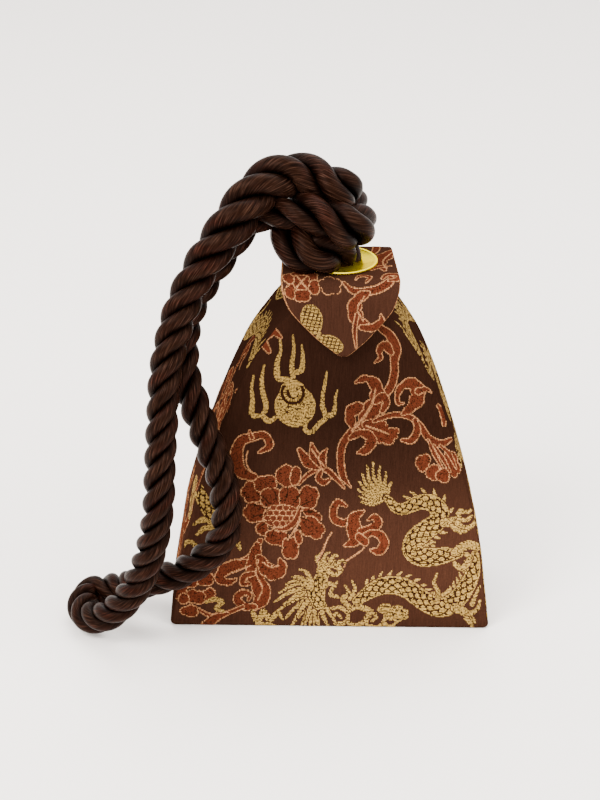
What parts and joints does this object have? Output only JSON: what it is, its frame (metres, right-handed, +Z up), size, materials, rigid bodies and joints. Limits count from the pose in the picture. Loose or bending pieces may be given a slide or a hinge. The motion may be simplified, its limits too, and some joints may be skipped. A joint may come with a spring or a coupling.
{
  "type": "brocade evening bag with a knotted rope handle",
  "caption": "Bell-shaped brocade evening bag with a tongue flap over its mouth, a brass eyelet disc and a thick twisted rope handle knotted above it.",
  "frame": {"origin": "middle of the base, on the surface that the bag stands on", "axes": "+Z up from the base to the flap, front of the bag towards -Y, +X to the right seen from the front"},
  "size_m": [0.2112, 0.1053, 0.2349],
  "materials": {
    "brocade": "dark brown satin brocade with woven gold and rust figures",
    "base_cloth": "plain dark brown satin over board",
    "snap_steel": "plain plated steel",
    "eyelet_brass": "bright satin brass with a fine raised rim",
    "satin_cord": "dark brown satin yarn twisted in three thick strands"
  },
  "bodies": {
    "root": {"front_panel": "brocade", "back_panel": "brocade", "left_gusset": "brocade", "right_gusset": "brocade", "base_panel": "base_cloth", "closing_flap": "brocade", "flap_snap": "snap_steel", "eyelet_disc": "eyelet_brass", "rope_handle": "satin_cord"}
  },
  "joints": []
}
